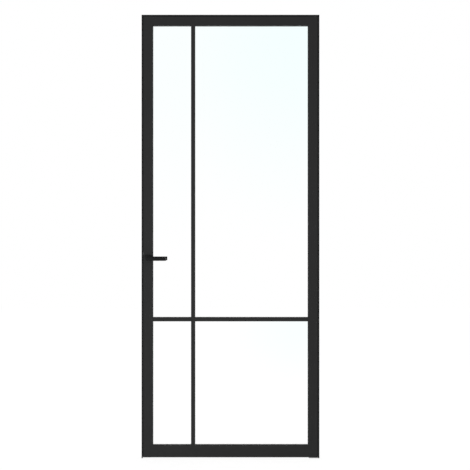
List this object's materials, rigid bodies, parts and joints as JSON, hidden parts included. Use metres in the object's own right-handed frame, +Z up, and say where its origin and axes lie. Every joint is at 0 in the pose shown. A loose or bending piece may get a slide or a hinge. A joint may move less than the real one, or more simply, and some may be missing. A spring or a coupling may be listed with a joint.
{
  "type": "glass door",
  "caption": "Slim black steel glass door in a flush angle frame, panes set between tee bars, swinging on hidden corner pivots, with lever handles that withdraw a magnetic catch",
  "frame": {"origin": "on the floor, in the middle of the frame's width and of the leaf's depth", "axes": "+X to the right as seen from the front, +Y away from the viewer, +Z up; the leaf opens towards -Y"},
  "size_m": [0.93, 0.1504, 2.32],
  "materials": {
    "black_coat": "matte",
    "black_lever": "matte",
    "clear_glass": "polished",
    "black_rubber": "matte",
    "satin_steel": "satin",
    "bearing_brass": "satin",
    "magnet_nickel": "polished",
    "black_nylon": "matte"
  },
  "bodies": {
    "frame": {"frame_hinge_jamb": "black_coat", "frame_latch_jamb": "black_coat", "frame_head": "black_coat", "stop_seal_latch": "black_rubber", "stop_seal_head": "black_rubber", "strike_plate": "satin_steel", "strike_magnet": "magnet_nickel", "top_pivot_bush": "black_nylon", "bottom_pivot_plate": "satin_steel", "bottom_pivot_pin": "satin_steel", "thrust_washer": "black_nylon"},
    "leaf": {"hinge_stile": "black_coat", "lock_stile": "black_coat", "top_rail": "black_coat", "bottom_rail": "black_coat", "vertical_bar": "black_coat", "horizontal_bar_left": "black_coat", "horizontal_bar_right": "black_coat", "glass_lower_left": "clear_glass", "glass_lower_right": "clear_glass", "glass_upper_left": "clear_glass", "glass_upper_right": "clear_glass", "front_gasket_lower_left": "black_rubber", "front_gasket_lower_right": "black_rubber", "front_gasket_upper_left": "black_rubber", "front_gasket_upper_right": "black_rubber", "back_gasket_lower_left": "black_rubber", "back_gasket_lower_right": "black_rubber", "back_gasket_upper_left": "black_rubber", "back_gasket_upper_right": "black_rubber", "beads_lower_left": "black_coat", "beads_lower_right": "black_coat", "beads_upper_left": "black_coat", "beads_upper_right": "black_coat", "setting_blocks": "black_nylon", "top_pivot_block": "satin_steel", "top_pivot_pin": "satin_steel", "bottom_pivot_block": "satin_steel", "bottom_pivot_bush": "bearing_brass", "lock_stile_plugs": "black_nylon", "latch_case": "satin_steel", "latch_cover": "satin_steel", "latch_forend": "satin_steel", "lock_lugs": "satin_steel", "latch_spring": "satin_steel", "rose_base_front": "black_nylon", "rose_base_back": "black_nylon", "rose_cover_front": "black_lever", "rose_cover_back": "black_lever"},
    "handle": {"lever_front": "black_lever", "lever_back": "black_lever", "spindle": "satin_steel", "follower": "satin_steel"},
    "latch": {"latch_bolt": "satin_steel", "latch_magnet": "magnet_nickel"}
  },
  "joints": [
    {"name": "leaf_swing", "type": "hinge", "parent": "frame", "child": "leaf", "pos_m": [0.443, -0.012, 0], "axis": [0, 0, 1], "range_deg": [0, 95]},
    {"name": "lever_turn", "type": "hinge", "parent": "leaf", "child": "handle", "pos_m": [-0.432, 0, 1.044], "axis": [0, 1, 0], "range_deg": [0, 40], "stiffness_Nm_per_rad": 1, "springref_deg": -28.65},
    {"name": "latch_slide", "type": "slide", "parent": "leaf", "child": "latch", "axis": [1, 0, 0], "range_m": [0, 0.008], "deforming": ["latch_spring"]}
  ],
  "couplings": [
    {"joint": "latch_slide", "follows": "lever_turn", "m_per_rad": 0.011459}
  ]
}
